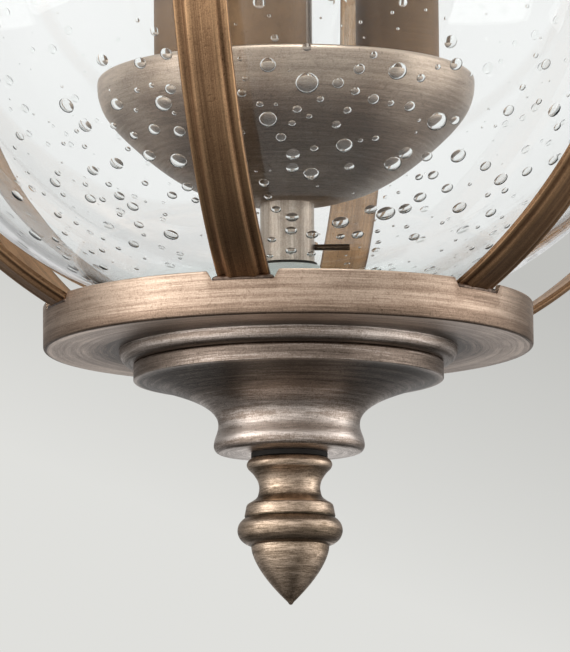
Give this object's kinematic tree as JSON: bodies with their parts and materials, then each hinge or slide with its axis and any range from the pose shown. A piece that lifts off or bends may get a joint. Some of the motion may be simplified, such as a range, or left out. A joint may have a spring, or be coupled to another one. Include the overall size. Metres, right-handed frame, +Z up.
{
  "type": "outdoor wall light",
  "caption": "Wall lantern with a seeded glass globe in a cage of curved straps, a stepped base with an acorn finial, and candle bulbs on a dish, hung from a bent arm.",
  "frame": {"origin": "middle of the wall plate, in the wall's plane", "axes": "+Z up, +Y into the wall, +X to the right of someone facing the wall"},
  "size_m": [0.266, 0.3371, 0.4969],
  "materials": {
    "burnished_bronze": "burnished bronze, fine circular brush lines",
    "dark_bronze": "dark burnished bronze with amber edges",
    "pewter": "brushed pewter",
    "zinc_steel": "zinc plated",
    "black_rubber": "matt",
    "seeded_glass": "clear glass with round seeds",
    "bulb_glass": "clear, warm",
    "bulb_cap": "plated screw cap",
    "candle_card": "satin bronze paint",
    "cream_plastic": "matt",
    "green_screw": "plated green",
    "black_wire": "satin"
  },
  "bodies": {
    "lantern": {"wall_gasket": "black_rubber", "mounting_bracket": "zinc_steel", "canopy_studs": "zinc_steel", "terminal_block": "cream_plastic", "earth_screw": "green_screw", "inner_leads": "black_wire", "wall_plate": "burnished_bronze", "arm_flange": "burnished_bronze", "arm": "burnished_bronze", "arm_lock_nut": "zinc_steel", "arm_cup": "burnished_bronze", "roof_dome": "burnished_bronze", "roof_ring": "burnished_bronze", "top_disc": "burnished_bronze", "upper_cage_ring": "dark_bronze", "upper_globe_seat": "zinc_steel", "upper_glass_gasket": "black_rubber", "centre_rod": "zinc_steel", "upper_tube": "pewter", "socket_plate": "zinc_steel", "cluster_hub": "zinc_steel", "dish": "burnished_bronze", "lower_tube": "pewter", "strap_1": "dark_bronze", "strap_2": "dark_bronze", "strap_3": "dark_bronze", "strap_4": "dark_bronze", "strap_5": "dark_bronze", "strap_6": "dark_bronze", "lower_cage_ring": "dark_bronze", "glass_globe": "seeded_glass", "lower_glass_gasket": "black_rubber", "lower_globe_seat": "zinc_steel", "base_disc": "burnished_bronze", "base_ring": "burnished_bronze", "bell_cup": "burnished_bronze", "lampholder_1": "cream_plastic", "lampholder_2": "cream_plastic", "lampholder_3": "cream_plastic", "sleeve_1": "candle_card", "sleeve_2": "candle_card", "sleeve_3": "candle_card"},
    "finial_washer": {"finial_washer": "black_rubber"},
    "finial": {"finial": "burnished_bronze"},
    "nut_washer_left": {"nut_washer_left": "black_rubber"},
    "cap_nut_left": {"cap_nut_left": "burnished_bronze"},
    "nut_washer_right": {"nut_washer_right": "black_rubber"},
    "cap_nut_right": {"cap_nut_right": "burnished_bronze"},
    "lock_pin": {"lock_pin": "dark_bronze"},
    "contact_1": {"contact_1": "bulb_cap"},
    "bulb_1": {"bulb_1": "bulb_glass", "bulb_cap_1": "bulb_cap"},
    "contact_2": {"contact_2": "bulb_cap"},
    "bulb_2": {"bulb_2": "bulb_glass", "bulb_cap_2": "bulb_cap"},
    "contact_3": {"contact_3": "bulb_cap"},
    "bulb_3": {"bulb_3": "bulb_glass", "bulb_cap_3": "bulb_cap"}
  },
  "joints": [
    {"name": "finial_lower", "type": "slide", "parent": "lantern", "child": "finial_washer", "axis": [0, 0, -1], "range_m": [0, 0.006]},
    {"name": "finial_spin", "type": "hinge", "parent": "finial_washer", "child": "finial", "pos_m": [0, -0.19, -0.3317], "axis": [0, 0, -1], "range_deg": [0, 1440]},
    {"name": "cap_nut_left_out", "type": "slide", "parent": "lantern", "child": "nut_washer_left", "axis": [0, -1, 0], "range_m": [0, 0.004]},
    {"name": "cap_nut_left_spin", "type": "hinge", "parent": "nut_washer_left", "child": "cap_nut_left", "pos_m": [-0.04445, -0.03, 0], "axis": [0, -1, 0], "range_deg": [0, 1440]},
    {"name": "cap_nut_right_out", "type": "slide", "parent": "lantern", "child": "nut_washer_right", "axis": [0, -1, 0], "range_m": [0, 0.004]},
    {"name": "cap_nut_right_spin", "type": "hinge", "parent": "nut_washer_right", "child": "cap_nut_right", "pos_m": [0.04445, -0.03, 0], "axis": [0, -1, 0], "range_deg": [0, 1440]},
    {"name": "bulb_1_rise", "type": "slide", "parent": "lantern", "child": "contact_1", "axis": [0, 0, 1], "range_m": [0, 0.00564]},
    {"name": "bulb_1_spin", "type": "hinge", "parent": "contact_1", "child": "bulb_1", "pos_m": [0, -0.2257, -0.1517], "axis": [0, 0, 1], "range_deg": [0, 720]},
    {"name": "bulb_2_rise", "type": "slide", "parent": "lantern", "child": "contact_2", "axis": [0, 0, 1], "range_m": [0, 0.00564]},
    {"name": "bulb_2_spin", "type": "hinge", "parent": "contact_2", "child": "bulb_2", "pos_m": [0.03092, -0.17215, -0.1517], "axis": [0, 0, 1], "range_deg": [0, 720]},
    {"name": "bulb_3_rise", "type": "slide", "parent": "lantern", "child": "contact_3", "axis": [0, 0, 1], "range_m": [0, 0.00564]},
    {"name": "bulb_3_spin", "type": "hinge", "parent": "contact_3", "child": "bulb_3", "pos_m": [-0.03092, -0.17215, -0.1517], "axis": [0, 0, 1], "range_deg": [0, 720]},
    {"name": "lock_pin_pull", "type": "slide", "parent": "lantern", "child": "lock_pin", "axis": [0.9848, 0.1736, 0], "range_m": [0, 0.005]}
  ],
  "couplings": [
    {"joint": "finial_lower", "follows": "finial_spin", "m_per_rad": 0.00023873},
    {"joint": "cap_nut_left_out", "follows": "cap_nut_left_spin", "m_per_rad": 0.00015915},
    {"joint": "cap_nut_right_out", "follows": "cap_nut_right_spin", "m_per_rad": 0.00015915},
    {"joint": "bulb_1_rise", "follows": "bulb_1_spin", "m_per_rad": 0.00044881},
    {"joint": "bulb_2_rise", "follows": "bulb_2_spin", "m_per_rad": 0.00044881},
    {"joint": "bulb_3_rise", "follows": "bulb_3_spin", "m_per_rad": 0.00044881}
  ]
}
